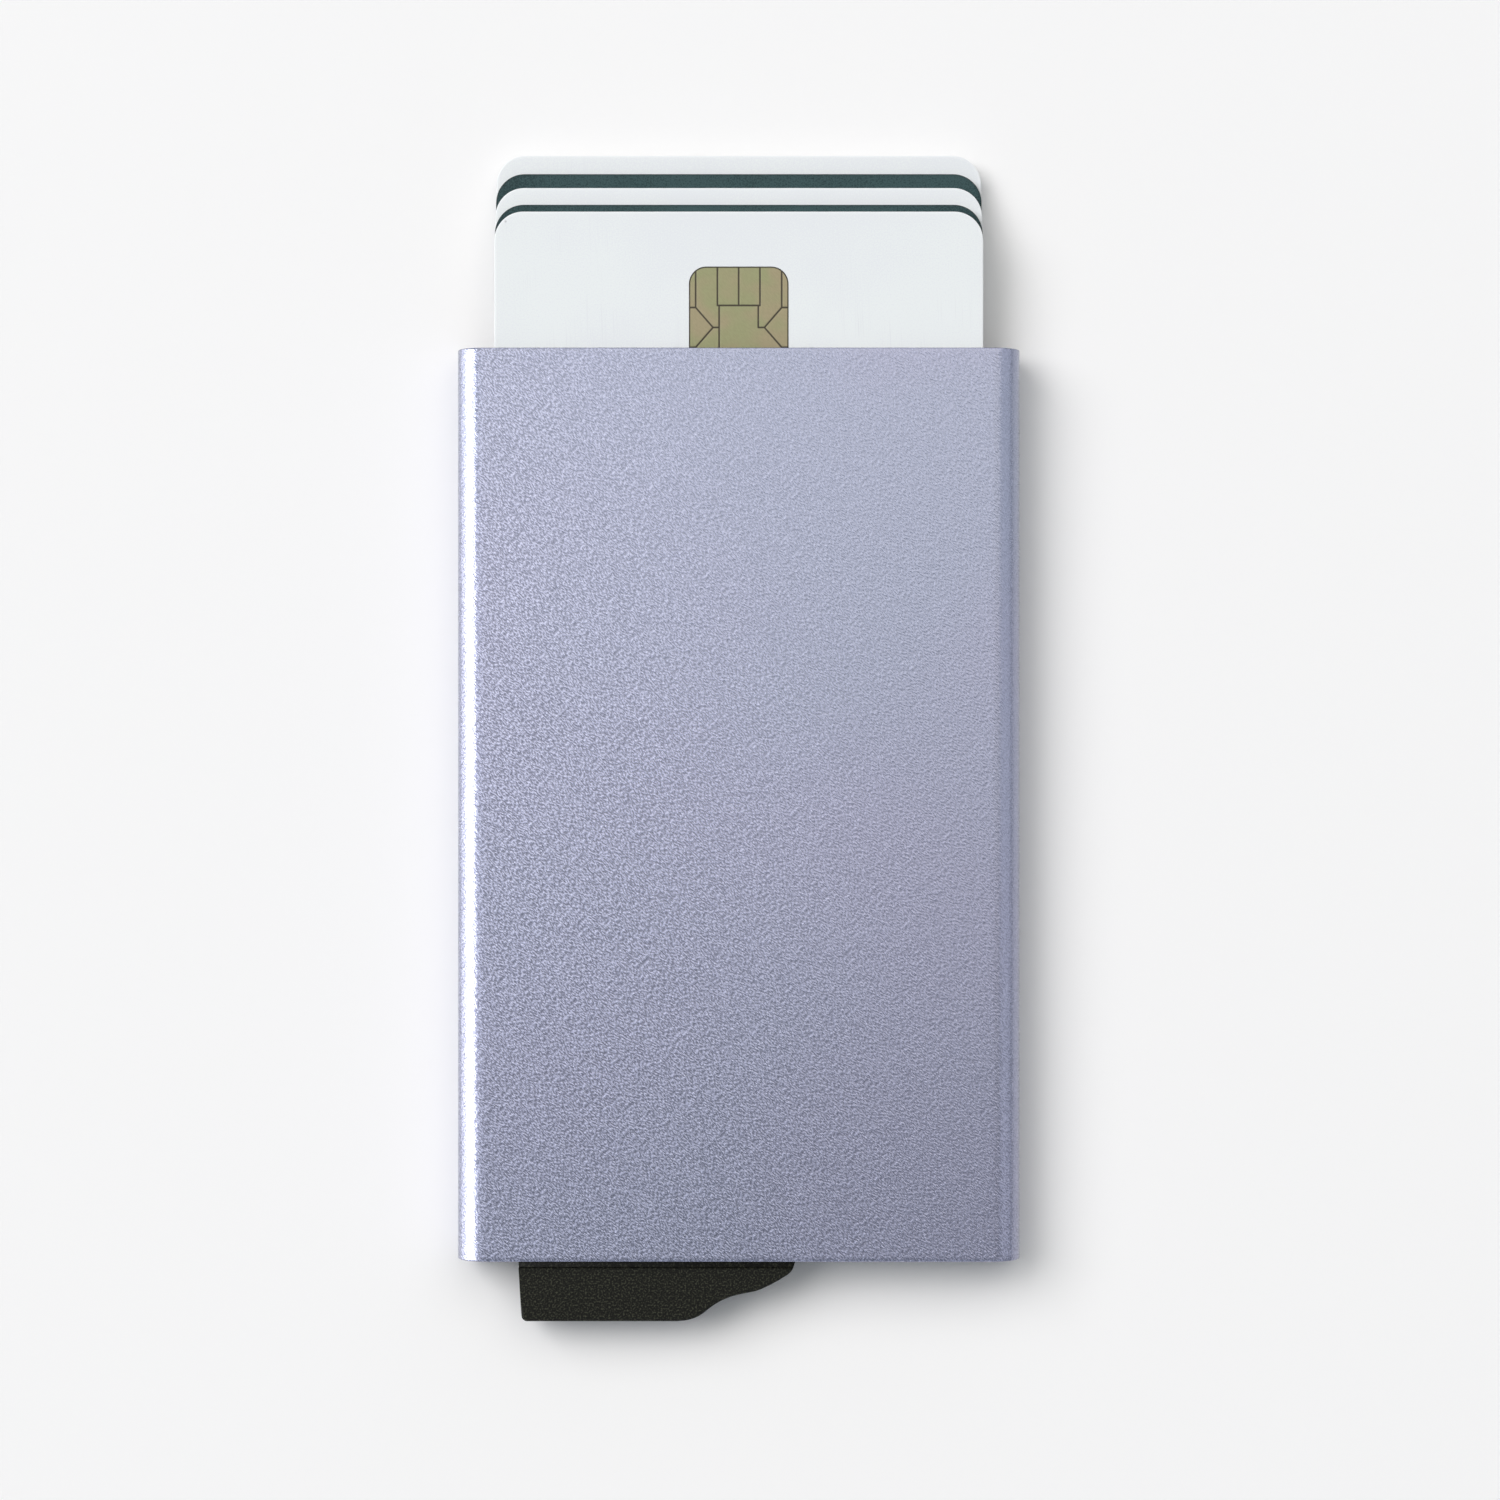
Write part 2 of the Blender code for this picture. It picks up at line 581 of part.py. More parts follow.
def make_card(index):
    """A plain card, with a pocket for the contact plate in the front one."""
    outline = rounded_rectangle(
        -CARD_WIDTH / 2, CARD_WIDTH / 2, -CARD_LENGTH / 2, CARD_LENGTH / 2, CARD_CORNER
    )
    low_z = card_low_z(index)
    y = MOUTH_Y + CARD_REACHES[index] - CARD_LENGTH / 2
    card = plate("card_" + str(index + 1), outline, low_z, low_z + CARD_THICKNESS, 0, y)
    round_edges(card, CARD_EDGE_ROUND)
    if index == 0:
        floor = low_z + CARD_THICKNESS - CHIP_THICKNESS - CHIP_FIT
        combine(card, plate("cut_chip_pocket", chip_outline(CHIP_FIT), floor, CASE_DEPTH, 0, chip_centre_y()))
    return card


def make_chip():
    """The gilt contact plate, level with the card's face."""
    high_z = card_low_z(0) + CARD_THICKNESS
    return plate("chip_contacts", chip_outline(0), high_z - CHIP_THICKNESS, high_z, 0, chip_centre_y())


def build():
    anodised = new_material("anodised_aluminium", (0.37, 0.38, 0.50), 0.38, 0.85)
    black_plastic = new_material("black_plastic", (0.018, 0.019, 0.017), 0.55)
    dark_plastic = new_material("dark_plastic", (0.03, 0.03, 0.032), 0.5)
    steel = new_material("steel", (0.62, 0.62, 0.62), 0.25, 1.0)
    felt = new_material("felt", (0.05, 0.05, 0.055), 0.95)
    white_card = new_material("white_card", (0.80, 0.82, 0.84), 0.4)
    green_card = new_material("green_card", (0.045, 0.085, 0.085), 0.4)
    gilt = new_material("gilt_contacts", (0.42, 0.38, 0.22), 0.35, 0.8)

    parent = bpy.data.objects.new("card_case_origin", None)
    PIECES.objects.link(parent)
    finish(make_shell(), anodised, parent)
    finish(make_end_frame(), dark_plastic, parent)
    finish(make_end_frame_cover(), dark_plastic, parent)
    finish(make_pin(), steel, parent)
    finish(make_lever(), black_plastic, parent)
    for side, direction in (("left", -1), ("right", 1)):
        finish(make_guide(side, direction), dark_plastic, parent)
        finish(make_felt(side, direction), felt, parent)
        finish(make_pad("front", side, direction), felt, parent)
        finish(make_pad("back", side, direction), felt, parent)
    for index in range(CARD_COUNT):
        finish(make_card(index), green_card if index % 2 else white_card, parent)
    finish(make_chip(), gilt, parent)


for old in list(bpy.data.objects):
    bpy.data.objects.remove(old)
PIECES = new_collection("card_case")
CUTTERS = new_collection("cutters")
build()
print("case", *(round(size / MM, 3) for size in (CASE_WIDTH, CASE_LENGTH, CASE_DEPTH)), "mm")
print("lever turns", round(math.degrees(LEVER_SWEEP), 3), "degrees")
print("lever pivot", round(PIVOT_X / MM, 3), round(PIVOT_Y / MM, 3), "mm")
print("card travels", *(round(travel / MM, 3) for travel in CARD_TRAVELS), "mm")
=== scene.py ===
# %% [markdown]
# A pop-up card case, dressed for a product picture.
#
# The real object is a flat sleeve of anodised aluminium with five bank-size cards in it. A black
# finger tab below the sleeve is the outside end of a lever that fans the cards out of the mouth.
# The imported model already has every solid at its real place. This notebook gives each piece its
# fine surface and its finish, and then sets up the floor, the lamps and the camera.

import math

import bmesh
import bpy
import numpy as np
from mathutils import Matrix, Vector


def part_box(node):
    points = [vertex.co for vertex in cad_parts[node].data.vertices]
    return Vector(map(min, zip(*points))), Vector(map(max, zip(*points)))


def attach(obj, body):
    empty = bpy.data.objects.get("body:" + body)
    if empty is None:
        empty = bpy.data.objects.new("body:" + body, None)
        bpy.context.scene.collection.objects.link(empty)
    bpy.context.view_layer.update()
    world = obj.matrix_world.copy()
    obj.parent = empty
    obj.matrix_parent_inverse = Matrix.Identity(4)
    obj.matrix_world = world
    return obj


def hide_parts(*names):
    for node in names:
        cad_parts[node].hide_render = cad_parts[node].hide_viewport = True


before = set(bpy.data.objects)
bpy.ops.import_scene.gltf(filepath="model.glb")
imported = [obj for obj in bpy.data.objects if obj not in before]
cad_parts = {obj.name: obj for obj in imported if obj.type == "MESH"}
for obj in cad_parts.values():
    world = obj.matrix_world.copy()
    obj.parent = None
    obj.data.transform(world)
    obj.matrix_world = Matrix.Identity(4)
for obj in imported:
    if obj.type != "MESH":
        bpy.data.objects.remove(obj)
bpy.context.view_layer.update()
MM = 0.001
print("nodes:", ", ".join(sorted(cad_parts)))

# %% [markdown]
# Nearly everything here is a plate or a tube with rounded corners. Both can be made from one curve,
# a rounded rectangle. It could be drawn as a Bezier curve, but a formula gives exact places and any
# number of points: a smaller rectangle is the path of the arc centres, and each point of the
# outline lies one radius from it, straight out. To inset the outline, only the radius is made
# smaller.

# %% A rounded rectangle as arc centres and directions
CORNER_STEPS = 16
SUPPORT_SHARE = 0.004
SIDE_SHARES = (0.25, 0.5, 0.75)


def rounded_rectangle(half_x, half_y, radius, steps=CORNER_STEPS, side_shares=SIDE_SHARES):
    """Arc centres and unit directions of a closed outline, from the lower right corner upwards.

    On a corner the centre stands still and the direction turns through a quarter circle. On a side
    the direction stays and the centre moves to the next corner. Each side has a point close to both
    of its ends, so that the shading of the flat stretch doesn't lean into the round one.
    """
    inner = np.array([half_x - radius, half_y - radius])
    signs = np.array([(1, -1), (1, 1), (-1, 1), (-1, -1)])
    shares = np.array([SUPPORT_SHARE, *side_shares, 1 - SUPPORT_SHARE])
    centres, directions = [], []
    for corner in range(4):
        angles = math.radians(90 * corner - 90) + np.linspace(0, math.pi / 2, steps + 1)
        turning = np.stack([np.cos(angles), np.sin(angles)], axis=1)
        here, there = inner * signs[corner], inner * signs[(corner + 1) % 4]
        centres += [np.tile(here, (steps + 1, 1)), here + shares[:, None] * (there - here)]
        directions += [turning, np.tile(turning[-1], (len(shares), 1))]
    return np.concatenate(centres), np.concatenate(directions)


def outline(shape, distance):
    """The outline that lies at a distance outside the arc centres."""
    centres, directions = shape
    return centres + np.asarray(distance)[..., None] * directions


print("a corner is drawn in", CORNER_STEPS, "steps, unless a piece asks for more or fewer")

# %% [markdown]
# A surface is a stack of rings with the same number of points, joined by four-sided faces. A plate
# closes its first and last ring with one flat face each. A tube's wall has no first and last ring:
# its rings run along the outside, over the end, back along the inside and meet again.

# %% From rings of points to a finished piece
SHARP_ANGLE = math.radians(50)


def ring_faces(rings, around):
    """Four-sided faces between neighbouring rings, as four corner numbers in each row."""
    index = np.arange(rings * around).reshape(rings, around)
    low, high = index[:-1], index[1:]
    quads = np.stack([low, np.roll(low, -1, 1), np.roll(high, -1, 1), high], axis=-1)
    return quads.reshape(-1, 4)


def mesh_of_rings(name, rings, closed=False):
    """A closed mesh from rings: joined end to start, or with a flat face at both ends."""
    count, around = rings.shape[:2]
    faces = ring_faces(count + 1 if closed else count, around)
    if closed:
        faces = faces % (count * around)
    faces = faces.tolist()
    if not closed:
        faces += [list(range(around))[::-1], list(range((count - 1) * around, count * around))]
    mesh = bpy.data.meshes.new(name)
    mesh.from_pydata(rings.reshape(-1, 3).tolist(), [], faces)
    return mesh


def face_outwards(mesh, merge=0.0):
    """Merge doubles if asked, then turn every face of a closed mesh outwards."""
    shape = bmesh.new()
    shape.from_mesh(mesh)
    if merge:
        bmesh.ops.remove_doubles(shape, verts=shape.verts, dist=merge)
    bmesh.ops.recalc_face_normals(shape, faces=shape.faces)
    shape.to_mesh(mesh)
    shape.free()


def place(name, mesh, material, body, slot, *nodes):
    """Make the object, shade it, let it ride on its body and stand for its CAD nodes."""
    mesh.shade_smooth()
    mesh.set_sharp_from_angle(angle=SHARP_ANGLE)
    mesh.materials.clear()
    mesh.materials.append(material)
    piece = bpy.data.objects.new(name, mesh)
    bpy.context.scene.collection.objects.link(piece)
    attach(piece, body)
    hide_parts(*nodes)
    print(name, "has", len(mesh.polygons), "faces and rides on", body)
    return piece


def set_attribute(mesh, name, values):
    """Keep one number for each point of the mesh, for a material to read."""
    attribute = mesh.attributes.new(name, "FLOAT", "POINT")
    attribute.data.foreach_set("value", np.asarray(values, np.float32).ravel())


print("edges sharper than", round(math.degrees(SHARP_ANGLE)), "degrees stay crisp")

# %% [markdown]
# A finish is a small network of shader nodes. Written by hand, such a network is long and hard to
# read, so two classes help. An Amount is a socket that knows arithmetic: a product of two amounts
# adds a Math node and gives back its result. A Finish is one material, and its node method is the
# only place where any other node is made.

# %% Shader arithmetic
# A Mix node has its own inputs for each kind of data. These are the numbers of those for colours.
MIX_FACTOR, MIX_FIRST, MIX_SECOND, MIX_RESULT = 0, 6, 7, 2


class Amount:
    """A number or colour that varies over a surface, which Python's operators can work on."""

    def __init__(self, finish, socket):
        self.finish, self.socket = finish, socket

    def math(self, operation, *others):
        inputs = {i: value for i, value in enumerate((self, *others))}
        return self.finish.node("ShaderNodeMath", {"operation": operation}, inputs)

    def __add__(self, other):
        return self.math("ADD", other)

    def __sub__(self, other):
        return self.math("SUBTRACT", other)

    def __mul__(self, other):
        return self.math("MULTIPLY", other)

    def __rsub__(self, other):
        return self * -1 + other

    __radd__ = __add__
    __rmul__ = __mul__

    def between(self, low, high):
        """0 below the low value, 1 above the high one and a smooth rise from one to the other."""
        settings = {"interpolation_type": "SMOOTHSTEP"}
        inputs = {"Value": self, "From Min": low, "From Max": high}
        return self.finish.node("ShaderNodeMapRange", settings, inputs)


class Finish:
    """One material: its shader, and the nodes that vary it over the surface."""

    def __init__(self, name, **shader_values):
        self.material = bpy.data.materials.new(name)
        self.material.use_nodes = True
        self.tree = self.material.node_tree
        self.shader = self.tree.nodes["Principled BSDF"]
        for key, value in shader_values.items():
            self.set(key.replace("_", " ").title(), value)
        self.place = self.node("ShaderNodeTexCoord", output="Object")

    def join(self, value, socket):
        if isinstance(value, Amount):
            self.tree.links.new(value.socket, socket)
        else:
            socket.default_value = value

    def set(self, key, value):
        """Give one socket of the shader a plain value or an Amount."""
        self.join(value, self.shader.inputs[key])

    def node(self, kind, settings=None, inputs=None, output=0):
        """Add a node: its settings first, then the values or links of its sockets."""
        made = self.tree.nodes.new(kind)
        for key, value in (settings or {}).items():
            setattr(made, key, value)
        for key, value in (inputs or {}).items():
            self.join(value, made.inputs[key])
        return Amount(self, made.outputs[output])

    def noise(self, size, detail, stretch=(1, 1, 1), turn=0.0, shift=0.0):
        """Cloudy noise from 0 to 1 of a given feature size, mostly near 0.5. Each step of detail
        lays a noise of half the size over it. It is drawn out along its own axes, then turned about
        Z, so that a streak can run slantwise over the piece. A shift takes it from another place in
        the endless pattern, so that no two noises of a finish agree."""
        inputs = {
            "Vector": self.place,
            "Location": (shift, shift, shift),
            "Rotation": (0, 0, turn),
            "Scale": tuple(size * s for s in stretch),
        }
        where = self.node("ShaderNodeMapping", {"vector_type": "TEXTURE"}, inputs)
        inputs = {"Vector": where, "Scale": 1.0, "Detail": detail}
        return self.node("ShaderNodeTexNoise", {"noise_dimensions": "3D"}, inputs)

    def coordinate(self, axis):
        """A place along one of the piece's own axes, in metres."""
        return self.node("ShaderNodeSeparateXYZ", inputs={"Vector": self.place}, output=axis)

    def attribute(self, name):
        """A number that the mesh keeps for each of its points."""
        return self.node("ShaderNodeAttribute", {"attribute_name": name}, output="Fac")

    def mix(self, factor, first, second):
        """One colour over another."""
        inputs = {MIX_FACTOR: factor, MIX_FIRST: first, MIX_SECOND: second}
        return self.node("ShaderNodeMix", {"data_type": "RGBA"}, inputs, output=MIX_RESULT)

    def bump(self, height, depth):
        """Tilt the shading as a relief of that depth would. A height of 1 is the full depth."""
        inputs = {"Height": height, "Distance": depth, "Strength": 1.0}
        self.set("Normal", self.node("ShaderNodeBump", inputs=inputs))


def colour(red, green, blue):
    return (red, green, blue, 1.0)


print("shader arithmetic is ready")

# %% [markdown]
# The sleeve is extruded, cut to length, blasted with fine glass beads and anodised in a greyish
# lavender. Blasting leaves a grain of shallow dimples about a fifth of a millimetre across, which is
# what makes the metal look satin: each dimple catches the lamps a little differently. So the grain
# is a real relief for the shader and also a slight change of roughness and colour. It runs
# slantwise, as the jet of beads did, and is stronger towards the lower left corner. Here and there a
# small spark is a real bump, and its colour is a painted glint, near white. The broken edges of the
# two cut ends are painted darker, a painted shade along the ends, and the sealed oxide over the
# metal is a thin clear coat that brightens the sides where they turn away.

# %% Bead-blasted, anodised aluminium
# The grain's size, its slant and its depth, and the sizes of what lies over it.
GRAIN = 0.14 * MM
GRAIN_STRETCH = 2.4
GRAIN_TURN = math.radians(45)
GRAIN_DEPTH = 0.036 * MM
COARSE_GRAIN = 4 * GRAIN
SPARK = 0.5 * GRAIN
DYE_DRIFT = 45 * MM

# How much of each goes into the colour and into the relief.
FINE_IN_COLOUR, COARSE_IN_COLOUR = 0.9, 0.1
FINE_IN_RELIEF, COARSE_IN_RELIEF, SPARK_IN_RELIEF = 0.75, 0.25, 0.6

# The contrast, and how much of it is lost towards the upper right corner. It fades as Y + 2 X goes
# from the first of these places to the second.
STRONGEST, FADING = 0.70, 0.56
STRONG_TO_FAINT = (-60 * MM, 75 * MM)
ACROSS_TO_ALONG = 2

# The values of a noise between which its effect goes from none to full.
DIMPLED, SPARKING, CLOUDED = (0.34, 0.66), (0.70, 0.78), (0.35, 0.65)
BLASTED_ROUGHNESS, DIMPLE_SHINE = 0.34, 0.16
# How strongly the painted shade darkens the broken edges of the cut ends.
PAINTED_EDGE_SHADE_SHARE = 0.6

LAVENDER = colour(0.315, 0.320, 0.437)
LAVENDER_COOL = colour(0.300, 0.325, 0.432)
DIMPLE_DARK = colour(0.128, 0.135, 0.193)
DIMPLE_LIGHT = colour(0.485, 0.500, 0.665)
# Painted glint: a near-white colour laid over the spark bumps.
PAINTED_GLINT = colour(0.85, 0.87, 0.95)
# Painted shade: the dark colour of the broken edges of the cut ends.
PAINTED_EDGE_SHADE = colour(0.10, 0.105, 0.18)


def anodised():
    finish = Finish("anodised_aluminium", metallic=0.92, coat_weight=0.35, coat_roughness=0.30)
    dimples = finish.noise(GRAIN, 0.3, (1, GRAIN_STRETCH, 1), GRAIN_TURN)
    coarse = finish.noise(COARSE_GRAIN, 1.0, shift=70 * MM)
    drift = finish.noise(DYE_DRIFT, 1.0, shift=30 * MM)
    dye = finish.mix(drift.between(*CLOUDED), LAVENDER, LAVENDER_COOL)
    across, along = finish.coordinate("X"), finish.coordinate("Y")
    faint = (along + across * ACROSS_TO_ALONG).between(*STRONG_TO_FAINT)
    contrast = STRONGEST - faint * FADING
    dark, light = (finish.mix(contrast, dye, end) for end in (DIMPLE_DARK, DIMPLE_LIGHT))
    mottle = dimples * FINE_IN_COLOUR + coarse * COARSE_IN_COLOUR
    dented = finish.mix(mottle.between(*DIMPLED), dark, light)
    # The sparks are real bumps in the relief, and their colour is a painted glint.
    spark_bumps_and_painted_glints = finish.noise(SPARK, 0.0, shift=15 * MM).between(*SPARKING)
    dyed_with_painted_glints = finish.mix(spark_bumps_and_painted_glints * contrast, dented, PAINTED_GLINT)
    # Painted shade: the broken edges of the cut ends are darkened in the colour.
    painted_edge_shade = finish.attribute("broken_edge") * PAINTED_EDGE_SHADE_SHARE
    finish.set("Base Color", finish.mix(painted_edge_shade, dyed_with_painted_glints, PAINTED_EDGE_SHADE))
    finish.set("Roughness", BLASTED_ROUGHNESS - dimples * DIMPLE_SHINE)
    relief = dimples * FINE_IN_RELIEF + coarse * COARSE_IN_RELIEF
    finish.bump(relief + spark_bumps_and_painted_glints * contrast * SPARK_IN_RELIEF, GRAIN_DEPTH)
    return finish.material


ANODISED = anodised()
print("dimples of", GRAIN / MM, "mm on", ANODISED.name)

# %% [markdown]
# The sleeve's wall is a thin rounded strip, swept once round a rounded rectangle. Both are the same
# curve: one says where a point is around the sleeve, and the other how deep in the wall and how far
# along the sleeve it is.

# %% The sleeve
WALL = 1.0 * MM
SLEEVE_CORNER = 3.0 * MM
EDGE_BREAK = 0.15 * MM
ROUND_STEPS, EDGE_STEPS = 24, 6
WALL_SHARES = np.linspace(0.1, 0.9, 9)

low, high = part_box("case_shell")
half_width = (high.x - low.x) / 2
half_depth = (high.z - low.z) / 2
half_length = high.y
mid_z = (high.z + low.z) / 2


def make_sleeve():
    """Point = arc centre + (corner radius - depth in the wall) * direction, at its Y."""
    section = rounded_rectangle(half_width, half_depth, SLEEVE_CORNER, ROUND_STEPS)
    wall = rounded_rectangle(WALL / 2, half_length, EDGE_BREAK, EDGE_STEPS, WALL_SHARES)
    loop = outline(wall, EDGE_BREAK)
    depth, along = loop[:, 0] + WALL / 2, loop[:, 1]
    flat = outline(section, SLEEVE_CORNER - depth[:, None])
    y = np.broadcast_to(along[:, None], flat.shape[:2])
    rings = np.stack([flat[..., 0], y, flat[..., 1] + mid_z], axis=-1)
    mesh = mesh_of_rings("sleeve", rings, closed=True)
    face_outwards(mesh)
    from_end = half_length - np.abs(y)
    # This mask of the broken edges also places the painted edge shade.
    set_attribute(mesh, "broken_edge", np.clip(1 - from_end / EDGE_BREAK, 0, 1))
    return place("sleeve", mesh, ANODISED, "root", "sleeve", "case_shell")


make_sleeve()

# %% [markdown]
# A bank card is laminated from sheets of white or coloured plastic and punched out, so its face is
# smooth and a little glossy and its rim is slightly rounded. On the white cards the rim is lighter,
# a painted highlight where the rounded edge catches the lamps, and on the green cards it is darker.
# The five cards are plain. Their faces have a very faint mottling from the press and the first marks
# of use: a few tiny specks, and hairline scuffs along the way that the cards slide.

# %% Laminated plastic for the cards
# The white rim colour is a painted highlight on the rounded edge. The green rim is just darker.
WHITE_FACE, WHITE_RIM_PAINTED_HIGHLIGHT = colour(0.80, 0.840, 0.845), colour(0.86, 0.875, 0.895)
WHITE_CLOUD, WHITE_SCUFF = colour(0.765, 0.795, 0.825), colour(0.70, 0.72, 0.75)
GREY_SPECK = colour(0.35, 0.36, 0.38)
GREEN_FACE, GREEN_RIM = colour(0.005, 0.024, 0.026), colour(0.006, 0.016, 0.017)
GREEN_CLOUD, GREEN_SCUFF = colour(0.030, 0.068, 0.072), colour(0.10, 0.14, 0.15)

# Broad clouds and fine mottling, mixed in these shares, and the slight waviness of the skin.
CLOUD, MOTTLE, MOTTLED = 14 * MM, 0.16 * MM, (0.40, 0.60)
CLOUD_SHARE, MOTTLE_SHARE = 0.4, 0.6
PEEL, PEEL_DEPTH = 0.5 * MM, 0.0008 * MM

# Scuffs are hairlines in patches. A speck's radius is a share of the specks' spacing.
HAIRLINE, HAIRLINE_STRETCH, HAIRLINE_TURN = 0.10 * MM, 90, 0.04
HAIRLINES, PATCH, PATCHES = (0.62, 0.78), 6 * MM, (0.45, 0.70)
SPECK_SPACING, SPECK = 9 * MM, (0.008, 0.024)
SCUFF_STRENGTH, SPECK_STRENGTH = 0.5, 0.6
CLOUD_ROUGHNESS, SCUFF_ROUGHNESS = 0.08, 0.2


def card_plastic(name, face, rim, cloud, speck, scuff, roughness, gloss):
    finish = Finish(name)
    finish.set("Specular IOR Level", gloss)
    clouds = finish.noise(CLOUD, 2.0, shift=110 * MM)
    peel = finish.noise(PEEL, 1.0)
    stretch = (1, HAIRLINE_STRETCH, 1)
    hairlines = finish.noise(HAIRLINE, 0.0, stretch, HAIRLINE_TURN, shift=50 * MM)
    patches = finish.noise(PATCH, 1.0, shift=20 * MM)
    scuffs = hairlines.between(*HAIRLINES) * patches.between(*PATCHES)
    inputs = {"Vector": finish.place, "Scale": 1 / SPECK_SPACING}
    from_spot = finish.node("ShaderNodeTexVoronoi", {"feature": "F1"}, inputs)
    specks = 1 - from_spot.between(*SPECK)
    worn = finish.mix(scuffs * SCUFF_STRENGTH, face, scuff)
    fine = finish.noise(MOTTLE, 2.0, shift=65 * MM)
    mottle = (clouds * CLOUD_SHARE + fine * MOTTLE_SHARE).between(*MOTTLED)
    marked = finish.mix(specks * SPECK_STRENGTH, finish.mix(mottle, worn, cloud), speck)
    # The rim colour goes on the rim: a painted highlight on the white cards, darker on the green
    # ones.
    finish.set("Base Color", finish.mix(finish.attribute("rim"), marked, rim))
    finish.set("Roughness", roughness + clouds * CLOUD_ROUGHNESS + scuffs * SCUFF_ROUGHNESS)
    finish.bump(peel, PEEL_DEPTH)
    return finish.material


WHITES = (WHITE_FACE, WHITE_RIM_PAINTED_HIGHLIGHT, WHITE_CLOUD, GREY_SPECK, WHITE_SCUFF)
GREENS = (GREEN_FACE, GREEN_RIM, GREEN_CLOUD, GREEN_RIM, GREEN_SCUFF)
WHITE = card_plastic("white_laminate", *WHITES, roughness=0.34, gloss=0.5)
GREEN = card_plastic("green_laminate", *GREENS, roughness=0.44, gloss=0.25)
print("two laminates, with specks about every", SPECK_SPACING / MM, "mm")

# %% [markdown]
# Each card is a stack of rings: up the inside of the lower face, round the rim and back over the
# upper face. The front card goes on from there, down into the pocket for its contact plate, because
# a rounded rectangle inside a rounded rectangle can be joined to it corner by corner.

# %% The five cards
CARD_CORNER = 3.18 * MM
CARD_RIM = 0.09 * MM
RIM_SUPPORT = 4 * CARD_RIM
RIM_COLOURED = 0.3
RIM_STEPS = 5
PLATE_CORNER = 1.9 * MM
POCKET_GAP = 0.03 * MM
POCKET_CORNER = PLATE_CORNER + POCKET_GAP
POCKET_DEPTH = 0.25 * MM


def box_shape(node):
    """Centre, half sizes and heights of a CAD node, from its box."""
    low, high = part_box(node)
    centre = np.array([(low.x + high.x) / 2, (low.y + high.y) / 2])
    return centre, (high.x - low.x) / 2, (high.y - low.y) / 2, low.z, high.z


def rim_stations(low_z, high_z, radius, support):
    """Inset and height of each ring from the lower face to the upper one.

    The rings go round two quarter circles, inset = radius * (1 - sine of the turn) and rise =
    radius * (1 - cosine), and one more ring on each face keeps its shading flat.
    """
    turn = np.linspace(0, math.pi / 2, RIM_STEPS + 1)
    inset = radius * (1 - np.sin(turn))
    rise = radius * (1 - np.cos(turn))
    insets = np.concatenate([[support], inset, inset[::-1], [support]])
    heights = np.concatenate([[low_z], low_z + rise, high_z - rise[::-1], [high_z]])
    return insets, heights


def plate_rings(centre, shape, corner, insets, heights):
    """Point = centre + arc centre + (corner radius - inset) * direction, at the ring's height."""
    flat = centre + outline(shape, corner - insets[:, None])
    z = np.broadcast_to(heights[:, None], flat.shape[:2])
    return np.concatenate([flat, z[..., None]], axis=-1)


def make_card(number):
    """A plate of rings. The rim's colour, a painted highlight on the white cards and darker on the
    green ones, is full on its outer share and fades over one radius.
    """
    node = "card_" + str(number)
    centre, half_x, half_y, low_z, high_z = box_shape(node)
    shape = rounded_rectangle(half_x, half_y, CARD_CORNER)
    insets, heights = rim_stations(low_z, high_z, CARD_RIM, RIM_SUPPORT)
    rings = [plate_rings(centre, shape, CARD_CORNER, insets, heights)]
    rim = [np.clip(1 - (insets / CARD_RIM - RIM_COLOURED), 0, 1)]
    if number == 1:
        middle, pocket_x, pocket_y = box_shape("chip_contacts")[:3]
        shape = rounded_rectangle(pocket_x + POCKET_GAP, pocket_y + POCKET_GAP, POCKET_CORNER)
        heights = np.array([high_z, high_z, high_z - POCKET_DEPTH])
        insets = np.array([-POCKET_GAP, 0, 0])
        rings.append(plate_rings(middle, shape, POCKET_CORNER, insets, heights))
        rim.append(np.zeros(len(heights)))
    rings, rim = np.concatenate(rings), np.concatenate(rim)
    mesh = mesh_of_rings("plain_" + node, rings)
    face_outwards(mesh)
    set_attribute(mesh, "rim", np.repeat(rim, rings.shape[1]))
    white = number % 2 == 1
    slot = "card_white" if white else "card_green"
    return place("plain_" + node, mesh, WHITE if white else GREEN, node, slot, node)


for number in range(1, 6):
    make_card(number)

# %% [markdown]
# The contact plate is a thin gilt sheet, cut into pads by narrow etched lines. The lines are a
# common layout that any reader can meet. They could be painted on, but here they are real grooves:
# the plate is a fine grid whose height at each point depends on the distance to the nearest line.
# The same distance tells the material where the dark carrier shows through.

# %% Contact plate: lines as distances
PAD_X, OUTER_X, CORE_X, POINT_X = 2.35 * MM, 4.75 * MM, 2.16 * MM, 2.84 * MM
CORE_Y, ARM_Y = 2.43 * MM, 2.20 * MM


def plate_lines(half_x, half_y):
    """Ends of each etched line, from the middle of the plate. One line has no twin below."""
    right = [
        (PAD_X, half_y, PAD_X, CORE_Y),
        (OUTER_X, half_y, OUTER_X, ARM_Y),
        (OUTER_X, ARM_Y, half_x, ARM_Y),
        (OUTER_X, ARM_Y, POINT_X, 0),
        (POINT_X, 0, CORE_X, 0),
        (PAD_X, CORE_Y, 0, CORE_Y),
        (CORE_X, CORE_Y, CORE_X, 0),
        (0, half_y, 0, CORE_Y),
    ]
    upper = np.array(right + [(-x0, y0, -x1, y1) for x0, y0, x1, y1 in right])
    lower = upper * np.array([1, -1, 1, -1])
    open_side = (lower[:, 0] == CORE_X) & (lower[:, 2] == CORE_X)
    return np.concatenate([upper, lower[~open_side]])


